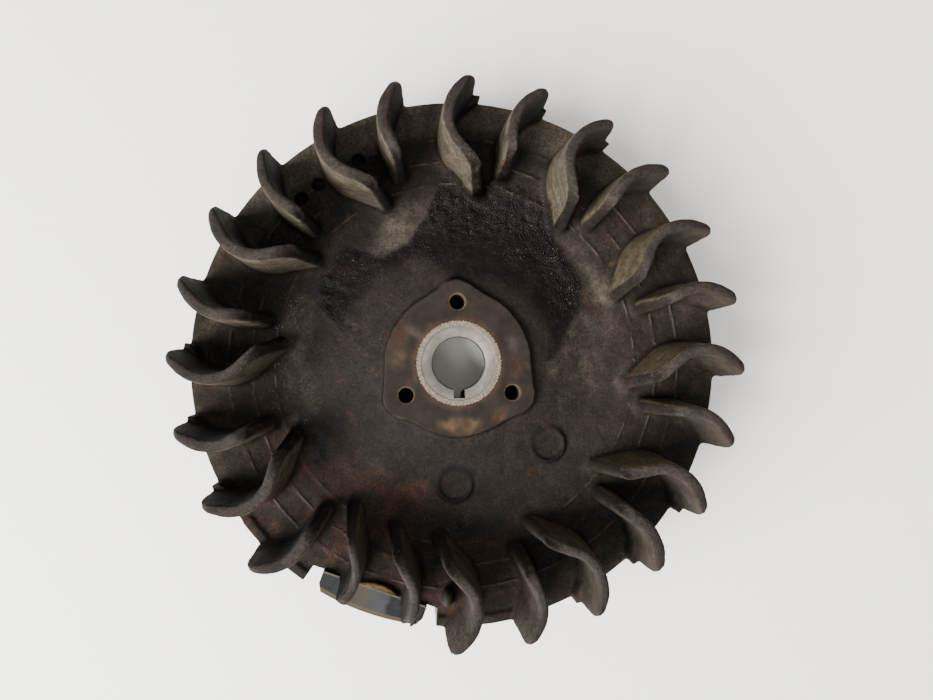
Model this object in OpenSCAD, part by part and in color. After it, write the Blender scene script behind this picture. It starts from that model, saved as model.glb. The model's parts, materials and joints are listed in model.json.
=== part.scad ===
// Cast-iron blower flywheel of a small air-cooled engine, with its ignition magnet unit.
// Millimetres. The crankshaft axis is Z, the fins point to +Z, and the keyway is at -Y.
// The back face of the rim is at z = 0.
// Pieces: one iron casting, and a magnet unit screwed into a notch in its rim.

/* [Rim and web] */
// Radius of the rim and of the fins' outer edges
rim_r = 115; // [113:0.5:118]
// Depth of the rim from its back face to its front edge
rim_depth = 30; // [28:0.5:34]
// Radius of the hollow behind the web, at its mouth
cup_r = 96; // [92:0.5:98]
// Height of the web's back face above the rim's back face
web_back_z = 16; // [14:0.5:17]
// Height of the web's front face, inside the ring of fins
web_front_z = 25; // [24:0.5:26]
// Height that the web gains on its way in to the starter pad
web_crown = 3.5; // [1:0.5:4]
// How far the floor between the fins falls from the rim to the fins' inner ends
floor_fall = 3.5; // [2:0.25:4]

/* [Hub] */
// Height of the machined front face that carries the starter cup
pad_z = 32; // [31:0.5:34]
// Height of the hub's back face
hub_back_z = 2; // [1:0.5:4]
// Radius of the crankshaft hole at its front, small end
bore_r = 11.5; // [11:0.1:12]
// Length of the straight wall at the front of the crankshaft hole
bore_land = 4; // [3:0.5:6]
// Growth of the hole's diameter for each millimetre towards the back
bore_taper = 0.2; // [0.15:0.01:0.22]
// Width of the keyway
key_w = 5; // [4:0.5:6]
// Distance from the axis to the keyway's floor, at the front
key_floor_r = 15.3; // [14.5:0.1:16]
// Diameter of the bright ring that the crankshaft nut's washer presses on
seat_d = 37.5; // [34:0.5:40]
// Diameter of the circle that the three tapped holes lie on
bolt_circle_d = 54; // [52:0.5:56]
// Tapping-drill diameter of the M8 holes
bolt_hole_d = 6.8; // [6.6:0.1:7]
// Depth of the tapped holes
bolt_hole_depth = 17; // [12:0.5:17]

/* [Fins] */
// Height of the fins above the rim's front edge
fin_height = 35; // [28:0.5:37]
// Thickness of a fin at its top
fin_top_w = 4.2; // [3:0.1:4.8]
// Thickness of a fin where it meets the floor
fin_base_w = 7.2; // [6:0.1:8]
// Radius at which a fin reaches furthest ahead of its own tip
crest_r = 98.8; // [97:0.2:101]
// How far ahead of its own tip a fin reaches there
crest_lead = 8.8; // [7:0.2:10]
// Radius of the bend in a fin, along its middle
bend_r = 12; // [10:0.5:14]
// Angle of a fin's outer stretch to its radius
outer_slope = 34; // [28:1:38]
// Angle of a long fin's inner stretch to its radius
long_slope = 40; // [34:1:44]
// Angle of a short fin's inner stretch to its radius
short_slope = 15; // [10:1:20]
// Radius where a long fin's foot begins
long_foot_r = 73.5; // [73:0.5:78]
// Radius where a short fin's foot begins
short_foot_r = 82; // [81:0.5:87]

/* [Magnet unit] */
// Direction of the middle of the rim's notch
notch_angle = 248.4; // [247:0.1:250]
// Angle between the two walls of the notch
notch_span = 30.8; // [30:0.1:32]
// Distance from the axis to the flat floor of the notch
notch_floor_r = 104; // [103.5:0.1:105]
// Width of the magnet unit across the notch
unit_w = 47.5; // [44:0.5:49]
// Width of the magnet between the two pole stacks
magnet_w = 15; // [12:0.5:18]
// Number of laminations in each pole stack
lamination_count = 16; // [12:1:18]

/* [Hidden] */

$fn = 96;
past = 1;                                   // how far a cut runs past the face it opens
through = 200;                              // longer than any cut needs

fin_count = 24;
fin_pitch = 360 / fin_count;
first_fin = 12;                             // direction of the first short fin's tip
extra_long_fin = 16;                        // fins are short and long by turns, but this one is long
rim_edge_w = 2;                             // flat edge of the rim in front
rim_chamfer = 1.2;
fin_tip_r = 4;                              // rounding of the fins' top outer corners
floor_inner_r = 78;                         // where the fins' floor ends
web_outer_r = 71;                           // where the smooth web begins
crown_foot_r = 60;                          // where the web begins to rise towards the pad
crown_top_r = 36;
floor_inner_z = rim_depth - floor_fall;
cup_draft = 2;                              // how much narrower the hollow is at the web
hub_back_r = 26;
hub_root_r = 38;                            // the hub's radius where it grows out of the web
overall_z = rim_depth + fin_height;
fin_tip_centre = [rim_r - fin_tip_r, overall_z - fin_tip_r];

pad_r = 32;
lobe_r = 11;
lobe_centre_r = 26;
seat_depth = 0.25;
key_seat_len = pad_z - hub_back_z;
taper_half_angle = atan(bore_taper / 2);
taper_len = pad_z - bore_land - hub_back_z;
bore_back_r = bore_r + taper_len * bore_taper / 2;
first_bolt = 90;
drill_point_angle = 59;

balance_angles = [115, 126.8, 132.4];
balance_r = 99.5;
balance_d = 6;
balance_depth = 9;

band_inner_r = 111;                         // raised band of the rim beside the notch
band_rise = 1.2;
band_reach = 18;                            // how far the band runs from each wall of the notch
lip_bulge = 2.4;                            // low lip on the casting behind the magnet unit
lip_r = 20;
lip_rise = 2;
lip_angle = notch_angle + 0.9;

unit_back_z = 1;
unit_front_z = rim_depth + 2;
backing_t = 0.8;
plate_t = 1.6;
play = 0.05;                                // space left between pieces that only touch
unit_back_r = notch_floor_r + backing_t + play;
corner_cut = 3;
magnet_recess = 1.5;                        // how far the magnet lies below the poles' faces
lamination_gap = 0.1;
stack_back_z = unit_back_z + plate_t + play;
stack_front_z = unit_front_z - plate_t - play;
lamination_pitch = (stack_front_z - stack_back_z + lamination_gap) / lamination_count;
lamination_t = lamination_pitch - lamination_gap;

rivet_d = 3;
rivet_head_d = 5;
rivet_head_t = 1;                           // the heads are countersunk and filed flush
rivet_across = [-20, -11.5, 11.5, 20];
rivet_r = 107.4;
screw_d = 5;
screw_head_d = 9;
screw_head_t = 2.6;
screw_across = [-15.75, 15.75];
screw_z = (unit_back_z + unit_front_z) / 2;
screw_end_r = 97.5;
screw_sink_r = 111.9;                       // distance from the axis to the screws' outer faces
slot_w = 1.2;
slot_depth = 1.2;
hole_play = 0.15;

// ---------------------------------------------------------------- fins

// Middle of the bend in a fin, in the fin's own frame: x along its radius, y ahead of its tip
bend_centre = [crest_r, crest_lead - bend_r];
bend_steps = 6;
nose_steps = 4;

function on_bend(angle, r) = bend_centre + r * [cos(angle), sin(angle)];

// A point past a bend's end, along a straight stretch and to one side of its middle
function on_stretch(angle, along, side) =
    on_bend(angle, bend_r + side) + along * [-sin(angle), cos(angle)];

// How far a straight stretch runs from the bend until it is at radius r
function run_to(angle, r) = (r - on_bend(angle, bend_r)[0]) / -sin(angle);

// Outline of a fin of half-width h: out to past the rim, round the bend, and a round nose
function fin_outline(h, slope, foot_r) =
    let (
        outer = 90 - outer_slope,
        inner = 90 + slope,
        out_run = -(rim_r + 4 - on_bend(outer, bend_r)[0]) / sin(outer),
        in_run = run_to(inner, foot_r + h),
        nose = on_stretch(inner, in_run, 0)
    )
    concat(
        [on_stretch(outer, out_run, h)],
        [for (i = [0:bend_steps]) on_bend(outer + (inner - outer) * i / bend_steps, bend_r + h)],
        [for (i = [0:nose_steps]) nose + h * [cos(inner + 180 * i / nose_steps),
                                              sin(inner + 180 * i / nose_steps)]],
        [for (i = [bend_steps:-1:0]) on_bend(outer + (inner - outer) * i / bend_steps, bend_r - h)],
        [on_stretch(outer, out_run, -h)]
    );

// A fin is lofted through four outlines: two for its sloping sides and two for its rounded top
module fin(slope, foot_r, nose_lean) {
    levels = [
        [floor_inner_z - 2, fin_base_w / 2, 0],
        [overall_z - 1.6, fin_top_w / 2, nose_lean * 0.95],
        [overall_z - 0.5, fin_top_w / 2 - 0.45, nose_lean * 0.98],
        [overall_z, fin_top_w / 2 - 1, nose_lean]
    ];
    rings = [for (level = levels) [for (p = fin_outline(level[1], slope, foot_r + level[2]))
        [p[0], p[1], level[0]]]];
    n = len(rings[0]);
    last = len(levels) - 1;
    middle = (n - 1) / 2;
    points = [for (ring = rings) for (p = ring) p];
    sides = [for (k = [0:last - 1]) for (i = [0:n - 1]) for (half = [0, 1])
        let (a = k * n + i, b = k * n + (i + 1) % n)
        half == 0 ? [a, a + n, b] : [b, a + n, b + n]];
    // Both ends are closed by strips across the fin, because its outline is hollow at the bend
    bottom = concat([for (i = [0:middle - 2]) [i, i + 1, n - 2 - i, n - 1 - i]],
                    [[middle - 1, middle, middle + 1]]);
    top = [for (strip = bottom) [for (i = [len(strip) - 1:-1:0]) last * n + strip[i]]];
    polyhedron(points, concat(sides, bottom, top));
}

module fins() {
    for (k = [0:fin_count - 1])
        rotate(first_fin + k * fin_pitch)
            if (k % 2 == 0 && k != extra_long_fin) fin(short_slope, short_foot_r, 4);
            else fin(long_slope, long_foot_r, 4.5);
}

// ---------------------------------------------------------------- casting

// Rim, web and hub as one turned section, oversize at the rim
module body_section() {
    rotate_extrude()
        polygon([
            [0, hub_back_z],
            [hub_back_r, hub_back_z],
            [hub_back_r + 1, web_back_z - 6],
            [hub_root_r, web_back_z],
            [cup_r - cup_draft - 4, web_back_z],
            [cup_r - cup_draft, web_back_z - 4],
            [cup_r, 0],
            [rim_r + 4, 0],
            [rim_r + 4, rim_depth],
            [rim_r - rim_edge_w, rim_depth],
            [floor_inner_r, floor_inner_z],
            [web_outer_r, web_front_z],
            [crown_foot_r, web_front_z],
            [crown_top_r, web_front_z + web_crown],
            [0, web_front_z + web_crown]
        ]);
}

// Everything outside this is turned away, so the rim and the fins end at one radius
module turned_envelope() {
    rotate_extrude($fn = 180)
        polygon([
            [0, -past],
            [rim_r - rim_chamfer - past, -past],
            [rim_r, rim_chamfer],
            for (a = [0:30:90]) fin_tip_centre + fin_tip_r * [cos(a), sin(a)],
            [rim_r - fin_tip_r, overall_z + past],
            [0, overall_z + past]
        ]);
}

// Machined pad with three lobes, one for each tapped hole
module starter_pad() {
    translate([0, 0, web_back_z + 2])
        linear_extrude(pad_z - web_back_z - 2)
            union() {
                circle(pad_r);
                for (k = [0:2])
                    rotate(first_bolt + 120 * k) translate([lobe_centre_r, 0]) circle(lobe_r);
            }
}

module drilled_hole(d, depth) {
    tip = d / 2 / tan(drill_point_angle);
    translate([0, 0, -depth]) cylinder(d = d, h = depth + past);
    translate([0, 0, -depth - tip]) cylinder(r1 = 0.01, r2 = d / 2, h = tip);
}

// Straight at the front, then wider towards the back, with a keyway that follows the taper
module crankshaft_hole() {
    translate([0, 0, hub_back_z]) cylinder(r = bore_r, h = key_seat_len + past);
    translate([0, 0, hub_back_z - past])
        cylinder(r1 = bore_back_r + past * bore_taper / 2, r2 = bore_r, h = taper_len + past);
    translate([0, -key_floor_r, pad_z])
        rotate([-taper_half_angle, 0, 0])
            translate([-key_w / 2, 0, -key_seat_len * 1.2])
                cube([key_w, key_floor_r, key_seat_len * 1.2 + 3]);
}

// Shallow clean ring round the hole, where the nut's washer sits
module washer_seat() {
    translate([0, 0, pad_z - seat_depth]) cylinder(d = seat_d, h = seat_depth + past);
}

module tapped_holes() {
    for (k = [0:2])
        rotate(first_bolt + 120 * k)
            translate([bolt_circle_d / 2, 0, pad_z])
                drilled_hole(bolt_hole_d, bolt_hole_depth);
}

module balance_holes() {
    for (angle = balance_angles)
        rotate(angle)
            translate([balance_r, 0, rim_depth])
                drilled_hole(balance_d, balance_depth);
}

// Notch across the whole rim and through the fins above it: a flat floor and two radial walls
module rim_notch() {
    half = notch_span / 2;
    outer_r = rim_r + 10;
    rotate(notch_angle)
        translate([0, 0, -past])
            linear_extrude(through)
                polygon([
                    [notch_floor_r, -notch_floor_r * tan(half)],
                    [outer_r, -outer_r * tan(half)],
                    [outer_r, outer_r * tan(half)],
                    [notch_floor_r, notch_floor_r * tan(half)]
                ]);
}

// Bands of the rim on both sides of the notch that stand a little above the floor
module rim_bands() {
    for (start = [notch_angle - notch_span / 2 - band_reach, notch_angle + notch_span / 2 - past])
        rotate(start)
            rotate_extrude(angle = band_reach + past)
                translate([band_inner_r, rim_depth - 3])
                    square([rim_r - band_inner_r + 2, 3 + band_rise]);
}

// Low curved lip on the inner side of the notch
module notch_lip() {
    rotate(lip_angle)
        translate([notch_floor_r - lip_bulge + lip_r, 0, rim_depth - 6])
            cylinder(r = lip_r, h = 6 + lip_rise);
}

// Threaded holes for the magnet unit's screws, in from the floor of the notch
module screw_bores(d, from_r, to_r) {
    for (across = screw_across)
        rotate(notch_angle)
            translate([from_r, across, screw_z])
                rotate([0, 90, 0])
                    cylinder(d = d, h = to_r - from_r);
}

module flywheel_casting() {
    color([0.30, 0.26, 0.23])
        difference() {
            intersection() {
                union() {
                    body_section();
                    starter_pad();
                    rim_bands();
                    notch_lip();
                    fins();
                }
                turned_envelope();
            }
            rim_notch();
            crankshaft_hole();
            washer_seat();
            tapped_holes();
            balance_holes();
            screw_bores(screw_d, screw_end_r - 1, notch_floor_r + past);
        }
}

// ---------------------------------------------------------------- magnet unit

// Outline of the unit between two distances across it: flat back, round face, cut corners
module unit_outline(from_y, to_y) {
    intersection() {
        circle(rim_r, $fn = 180);
        polygon([
            [unit_back_r, -unit_w / 2],
            [rim_r * cos(asin(unit_w / 2 / rim_r)) - corner_cut, -unit_w / 2],
            [rim_r, -unit_w / 2 + corner_cut],
            [rim_r, unit_w / 2 - corner_cut],
            [rim_r * cos(asin(unit_w / 2 / rim_r)) - corner_cut, unit_w / 2],
            [unit_back_r, unit_w / 2]
        ]);
        translate([unit_back_r - past, from_y]) square([rim_r, to_y - from_y]);
    }
}

module pole_laminations(from_y, to_y) {
    rotate(notch_angle)
        difference() {
            for (k = [0:lamination_count - 1])
                translate([0, 0, stack_back_z + k * lamination_pitch])
                    linear_extrude(lamination_t) unit_outline(from_y, to_y);
            rivets(play);
            rotate(-notch_angle) {
                screw_bores(screw_d + 2 * hole_play, notch_floor_r, rim_r + past);
                screw_bores(screw_head_d + 2 * hole_play, screw_sink_r - screw_head_t - hole_play,
                            rim_r + past);
            }
        }
}

module leading_pole_laminations() {
    color([0.36, 0.38, 0.41]) pole_laminations(magnet_w / 2 + play, unit_w / 2);
}

module trailing_pole_laminations() {
    color([0.36, 0.38, 0.41]) pole_laminations(-unit_w / 2, -magnet_w / 2 - play);
}

// Ferrite block, set back a little from the poles' faces
module magnet() {
    color([0.20, 0.20, 0.22])
        rotate(notch_angle)
            translate([unit_back_r, -magnet_w / 2, stack_back_z])
                cube([rim_r - magnet_recess - unit_back_r, magnet_w, stack_front_z - stack_back_z]);
}

module end_plate(z) {
    rotate(notch_angle)
        difference() {
            translate([0, 0, z]) linear_extrude(plate_t) unit_outline(-unit_w / 2, unit_w / 2);
            rivets(play);
        }
}

module front_end_plate() {
    color([0.33, 0.37, 0.41]) end_plate(unit_front_z - plate_t);
}

module rear_end_plate() {
    color([0.33, 0.37, 0.41]) end_plate(unit_back_z);
}

// Flush-headed pins that clamp the stacks between the end plates
module rivet(slack) {
    d = rivet_d + 2 * slack;
    head_d = rivet_head_d + 2 * slack;
    cylinder(d = d, h = unit_front_z - unit_back_z);
    cylinder(d1 = head_d, d2 = d, h = rivet_head_t);
    translate([0, 0, unit_front_z - unit_back_z - rivet_head_t])
        cylinder(d1 = d, d2 = head_d, h = rivet_head_t);
}

module rivets(slack) {
    for (across = rivet_across)
        translate([rivet_r, across, unit_back_z]) rivet(slack);
}

module pole_rivets() {
    color([0.36, 0.38, 0.41]) rotate(notch_angle) rivets(0);
}

// Strip that keeps the magnet and poles off the iron
module magnet_backing_strip() {
    color([0.72, 0.58, 0.30])
        difference() {
            rotate(notch_angle)
                translate([notch_floor_r + play / 2, -unit_w / 2, unit_back_z])
                    cube([backing_t, unit_w, unit_front_z - unit_back_z]);
            screw_bores(screw_d + 2 * hole_play, notch_floor_r - past, unit_back_r + past);
        }
}

// Slotted screws through the poles into the casting
module retaining_screws() {
    color([0.55, 0.56, 0.58])
        difference() {
            union() {
                screw_bores(screw_d - 0.2, screw_end_r, screw_sink_r - screw_head_t + past);
                screw_bores(screw_head_d, screw_sink_r - screw_head_t, screw_sink_r);
            }
            for (across = screw_across)
                rotate(notch_angle)
                    translate([screw_sink_r - slot_depth, across - slot_w / 2,
                               screw_z - screw_head_d])
                        cube([slot_depth + past, slot_w, 2 * screw_head_d]);
        }
}

flywheel_casting();
magnet();
leading_pole_laminations();
trailing_pole_laminations();
front_end_plate();
rear_end_plate();
pole_rivets();
magnet_backing_strip();
retaining_screws();
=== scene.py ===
import json
import math

import bmesh
import bpy
import numpy as np
from mathutils import Matrix, Vector


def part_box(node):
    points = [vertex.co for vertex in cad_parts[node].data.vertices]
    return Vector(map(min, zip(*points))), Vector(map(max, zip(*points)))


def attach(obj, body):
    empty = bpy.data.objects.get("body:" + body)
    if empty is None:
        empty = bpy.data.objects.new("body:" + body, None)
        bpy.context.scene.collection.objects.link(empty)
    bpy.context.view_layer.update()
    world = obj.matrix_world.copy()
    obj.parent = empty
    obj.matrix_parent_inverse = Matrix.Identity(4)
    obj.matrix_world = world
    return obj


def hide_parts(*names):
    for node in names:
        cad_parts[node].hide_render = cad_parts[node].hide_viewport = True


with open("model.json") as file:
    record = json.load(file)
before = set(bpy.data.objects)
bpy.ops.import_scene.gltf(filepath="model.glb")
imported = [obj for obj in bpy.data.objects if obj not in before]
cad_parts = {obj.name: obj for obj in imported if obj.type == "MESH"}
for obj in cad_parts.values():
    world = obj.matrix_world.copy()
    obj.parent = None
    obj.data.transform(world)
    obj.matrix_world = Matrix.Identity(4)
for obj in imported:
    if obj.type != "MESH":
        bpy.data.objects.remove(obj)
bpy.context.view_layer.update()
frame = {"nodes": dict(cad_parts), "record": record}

# Cast-iron blower flywheel. Shapes are worked out in millimetres in the CAD model's frame:
# Z is the crankshaft axis, the fins point to +Z and the keyway is at -Y.

MM = 0.001

NODES = frame["nodes"]
MOUNTS = {mount["name"]: mount for mount in frame["record"]["mounts"]}


# ------------------------------------------------------------------ sizes

RIM_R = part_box("flywheel_casting")[1][0] / MM
FIN_HEIGHT = 35.0
RIM_Z = 30.0
TOP_Z = RIM_Z + FIN_HEIGHT
PAD_Z = MOUNTS["starter_cup_bolts"]["pos_m"][2] / MM
BORE_R = MOUNTS["crank_bore"]["dims"]["r_mm"]
BORE_LAND = MOUNTS["crank_bore"]["dims"]["length_mm"]
BOLT_CIRCLE_R = MOUNTS["starter_cup_bolts"]["dims"]["pcd_mm"] / 2
BOLT_HOLE_R = MOUNTS["starter_cup_bolts"]["dims"]["hole_r_mm"]

CUP_R = 96.0
WEB_BACK_Z = 16.0
WEB_FRONT_Z = 25.0
FLOOR_FALL = 3.5
FLOOR_INNER_R = 78.0
WEB_OUTER_R = 71.0
WEB_CROWN = 3.5
CROWN_FOOT_R = 60.0
CROWN_TOP_R = 36.0
FLOOR_INNER_Z = RIM_Z - FLOOR_FALL
HUB_BACK_Z = 2.0
BORE_TAPER = 0.2
KEY_W = 5.0
KEY_FLOOR_R = 15.3
PAD_ROUND_R = 32.0
PAD_LOBE_RISE = 5.0                          # how far a lobe stands out past the round part
PAD_LOBE_SPREAD = 15.5                       # half-width of a lobe, in degrees
PAD_REACH = 41.0                             # a radius that holds the whole pad
SEAT_R = 18.75
SEAT_DEPTH = 0.25
BOLT_ANGLES = (90.0, 210.0, 330.0)
BOLT_DEPTH = 17.0

FIN_COUNT = 24
FIN_PITCH = 360.0 / FIN_COUNT
FIRST_FIN = 12.0
FIN_TOP_W = 4.4
FIN_BASE_W = 7.2
CREST_R = 98.8
CREST_LEAD = 8.8
BEND_R = 16.0
OUTER_SLOPE = 38.0
LONG_SLOPE = 43.5
SHORT_SLOPE = 14.0
LONG_FOOT_R = 73.5
SHORT_FOOT_R = 82.0
EXTRA_LONG_FIN = 16
NOTCH_FIN_TIPS = {15: 104.6, 16: 102.6}      # top outer ends of the two fins over the notch

BALANCE_ANGLES = (115.0, 126.8, 132.4)
BALANCE_R = 99.5
BALANCE_HOLE_R = 3.0
BALANCE_DEPTH = 9.0

NOTCH_ANGLE = 248.4
NOTCH_SPAN = 30.8
NOTCH_FLOOR_R = 104.0
SCREW_ACROSS = (-15.75, 15.75)
SCREW_Z = 16.5
SCREW_END_R = 97.5
SCREW_BORE_R = 2.6
LIP_ANGLE = NOTCH_ANGLE + 0.9
LIP_R = 20.0
LIP_BULGE = 2.4
BAND_INNER_R = 111.2
BAND_RISE = 1.2
BAND_REACH = (18.0, 17.0)                    # degrees the raised bands run on from the notch
LUMP_ANGLE = 266.0
LUMP_R = 102.0
LUMP_HALF_SIZES = (4.4, 2.6, 5.0)
FLASH_FINS = (3, 4, 5, 11, 12, 13, 19, 20, 21)


def at(radius, angle):
    """Point at a radius and direction."""
    return radius * math.cos(math.radians(angle)), radius * math.sin(math.radians(angle))


LIP_PLACE = at(NOTCH_FLOOR_R - LIP_BULGE + LIP_R, LIP_ANGLE)
MARK_R = 7.5
CAST_MARKS = (at(54.0, 267.3), at(54.5, 316.8))

# ------------------------------------------------------------------ camera

CAMERA_PLACE = (-19.6, 3.3, 346.7)
CAMERA_TURN = (0.5416, -4.1974, -1.26)
SENSOR_W = 36.0
FOCAL_PIXELS = 720.0
IMAGE_W = 933.0


def make_camera():
    """Looks down on the fins from a little to the left of the axis."""
    camera = bpy.data.objects.new("camera", bpy.data.cameras.new("camera"))
    bpy.context.scene.collection.objects.link(camera)
    camera.data.sensor_width = SENSOR_W
    camera.data.lens = SENSOR_W * FOCAL_PIXELS / IMAGE_W
    camera.data.clip_start = 0.01
    tilt_x, tilt_y, spin = (math.radians(angle) for angle in CAMERA_TURN)
    turn = (Matrix.Rotation(spin, 4, "Z") @ Matrix.Rotation(tilt_x, 4, "X")
            @ Matrix.Rotation(tilt_y, 4, "Y"))
    camera.matrix_world = Matrix.Translation(Vector(CAMERA_PLACE) * MM) @ turn
    bpy.context.scene.camera = camera


make_camera()

# ------------------------------------------------------------------ noise

HASH_X, HASH_Y, HASH_Z, HASH_SEED = 374761393, 668265263, 2246822519, 3266489917
HASH_MIX = 1274126177
WORD = 0xFFFFFFFF


def lattice(ix, iy, iz, seed):
    """A repeatable number from -1 to 1 for each lattice point."""
    h = (ix * HASH_X + iy * HASH_Y + iz * HASH_Z + seed * HASH_SEED) & WORD
    h = ((h ^ (h >> 15)) * HASH_MIX) & WORD
    h = ((h ^ (h >> 13)) * HASH_MIX) & WORD
    return ((h ^ (h >> 16)) & 0xFFFF) / 32767.5 - 1.0


def noise(points, scale, seed):
    """Smooth value noise from -1 to 1 at each point; scale is its grain in millimetres."""
    p = np.asarray(points, float) / scale
    cell = np.floor(p).astype(np.int64)
    t = p - cell
    t = t * t * (3.0 - 2.0 * t)
    total = np.zeros(len(p))
    for dx in (0, 1):
        for dy in (0, 1):
            for dz in (0, 1):
                weight = ((t[:, 0] if dx else 1 - t[:, 0]) * (t[:, 1] if dy else 1 - t[:, 1])
                          * (t[:, 2] if dz else 1 - t[:, 2]))
                total += weight * lattice(cell[:, 0] + dx, cell[:, 1] + dy, cell[:, 2] + dz, seed)
    return total


def layered(points, scale, seed, layers=3):
    """Noise with finer grains added, each half as strong."""
    total = np.zeros(len(points))
    for k in range(layers):
        total += noise(points, scale / 2 ** k, seed + 17 * k) / 2 ** k
    return total


def smooth_step(low, high, value):
    t = np.clip((value - low) / (high - low), 0.0, 1.0)
    return t * t * (3.0 - 2.0 * t)


def polar(points):
    """Radius and direction in degrees of each point about the axis."""
    radius = np.hypot(points[:, 0], points[:, 1])
    angle = np.degrees(np.arctan2(points[:, 1], points[:, 0])) % 360.0
    return radius, angle


def angle_off(angle, centre):
    """Signed difference from a direction, in degrees."""
    return (angle - centre + 180.0) % 360.0 - 180.0


# ------------------------------------------------------------------ mesh helpers

def add_object(name, data):
    """A new object of the scene that shows this data."""
    thing = bpy.data.objects.new(name, data)
    bpy.context.scene.collection.objects.link(thing)
    return thing


def mesh_object(name, verts, faces):
    """A mesh from millimetre points."""
    mesh = bpy.data.meshes.new(name)
    mesh.from_pydata([tuple(v) for v in np.asarray(verts, float) * MM], [], faces)
    mesh.validate()
    piece = add_object(name, mesh)
    tidy = bmesh.new()
    tidy.from_mesh(mesh)
    bmesh.ops.recalc_face_normals(tidy, faces=tidy.faces)
    tidy.to_mesh(mesh)
    tidy.free()
    return piece


def rounded(corners, steps=5):
    """A polyline through (r, z, fillet radius) corners, with each fillet as an arc."""
    corners = [np.array(c, float) for c in corners]
    line = [corners[0][:2]]
    for before, here, after in zip(corners, corners[1:], corners[2:]):
        radius = here[2]
        if radius <= 0:
            line.append(here[:2])
            continue
        a = before[:2] - here[:2]
        b = after[:2] - here[:2]
        a /= np.linalg.norm(a)
        b /= np.linalg.norm(b)
        half = math.acos(np.clip(a @ b, -1, 1)) / 2
        reach = radius / math.tan(half)
        middle = (a + b) / np.linalg.norm(a + b)
        centre = here[:2] + middle * radius / math.sin(half)
        start = here[:2] + a * reach - centre
        end = here[:2] + b * reach - centre
        sweep = math.atan2(start[0] * end[1] - start[1] * end[0], start @ end)
        for k in range(steps + 1):
            turn = sweep * k / steps
            line.append(centre + np.array([
                start[0] * math.cos(turn) - start[1] * math.sin(turn),
                start[0] * math.sin(turn) + start[1] * math.cos(turn),
            ]))
    line.append(corners[-1][:2])
    return line


def lathe(name, line, steps=180):
    """A closed turned solid from an (r, z) outline; points at r = 0 become poles."""
    verts = []
    rings = []
    for r, z in line:
        if r < 1e-6:
            rings.append([len(verts)] * steps)
            verts.append((0.0, 0.0, z))
            continue
        rings.append(list(range(len(verts), len(verts) + steps)))
        verts += [(r * math.cos(a), r * math.sin(a), z)
                  for a in (2 * math.pi * k / steps for k in range(steps))]
    closed = line[0][0] > 1e-6
    pairs = list(zip(rings, rings[1:])) + ([(rings[-1], rings[0])] if closed else [])
    faces = []
    for low, high in pairs:
        for k in range(steps):
            face = [low[k], low[(k + 1) % steps], high[(k + 1) % steps], high[k]]
            face = [v for i, v in enumerate(face) if v != face[i - 1]]
            if len(face) > 2:
                faces.append(face)
    return mesh_object(name, verts, faces)


def loft(name, rings, fold=None):
    """A closed solid through rings of the same number of points.

    A long thin shape names the ring's end point as its fold, and its ends are closed by strips
    from one side to the other.
    """
    count = len(rings[0])
    verts = [p for ring in rings for p in ring]
    faces = [[k * count + i, k * count + (i + 1) % count,
              (k + 1) * count + (i + 1) % count, (k + 1) * count + i]
             for k in range(len(rings) - 1) for i in range(count)]
    last = (len(rings) - 1) * count
    if fold is None:
        ends = [list(range(count))]
    else:
        ends = []
        for k in range(fold, fold + count // 2):
            strip = [k % count, (k + 1) % count, (2 * fold - k - 1) % count, (2 * fold - k) % count]
            ends.append([v for i, v in enumerate(strip) if v != strip[i - 1]])
    for end in ends:
        faces.append(end[::-1])
        faces.append([last + v for v in end])
    return mesh_object(name, verts, faces)


def prism(name, outline, low, high):
    return loft(name, [[(x, y, z) for x, y in outline] for z in (low, high)])


def turned(points, degrees):
    c, s = math.cos(math.radians(degrees)), math.sin(math.radians(degrees))
    return [(x * c - y * s, x * s + y * c) for x, y in points]


def join(name, pieces):
    """One mesh from several, which are removed."""
    verts = []
    faces = []
    for piece in pieces:
        start = len(verts)
        verts += [v.co[:] for v in piece.data.vertices]
        faces += [[start + v for v in face.vertices] for face in piece.data.polygons]
    for piece in pieces:
        drop(piece)
    mesh = bpy.data.meshes.new(name)
    mesh.from_pydata(verts, [], faces)
    return add_object(name, mesh)


def shifted(piece, place):
    """The piece, moved sideways to a place."""
    set_points(piece, points_of(piece) + np.array([*place, 0.0]))
    return piece


def away(points, place):
    """Distance of each point from a place, seen along the axis."""
    return np.hypot(points[:, 0] - place[0], points[:, 1] - place[1])


def drop(piece):
    mesh = piece.data
    bpy.data.objects.remove(piece)
    if mesh.users == 0:
        bpy.data.meshes.remove(mesh)


def apply_modifiers(piece):
    """Replaces the mesh with what its modifiers make of it."""
    bpy.context.view_layer.update()
    result = bpy.data.meshes.new_from_object(
        piece.evaluated_get(bpy.context.evaluated_depsgraph_get()))
    piece.modifiers.clear()
    old = piece.data
    piece.data = result
    bpy.data.meshes.remove(old)


def points_of(piece):
    co = np.empty(len(piece.data.vertices) * 3, np.float32)
    piece.data.vertices.foreach_get("co", co)
    return co.reshape(-1, 3).astype(float) / MM


def normals_of(piece):
    out = np.empty(len(piece.data.vertices) * 3, np.float32)
    piece.data.vertices.foreach_get("normal", out)
    return out.reshape(-1, 3).astype(float)


def set_points(piece, points):
    piece.data.vertices.foreach_set("co", (points * MM).astype(np.float32).ravel())
    piece.data.update()


# ------------------------------------------------------------------ fins

BEND_CENTRE = np.array([CREST_R, CREST_LEAD - BEND_R])
BEND_STEPS = 12
NOSE_STEPS = 8
OUTER_RUN = 6                      # points along a fin's outer stretch
INNER_RUN = 8                      # points along its inner stretch
TIP_SHARE = 0.68                   # a fin's width at its outer end, as a share of the rest


def floor_z(r):
    """Height of the floor between the fins, which falls towards the smooth web."""
    return np.interp(r, (WEB_OUTER_R, FLOOR_INNER_R, RIM_R - 2.0),
                     (WEB_FRONT_Z + 0.4, FLOOR_INNER_Z, RIM_Z))


def on_bend(angle, r):
    return BEND_CENTRE + at(r, angle)


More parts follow.
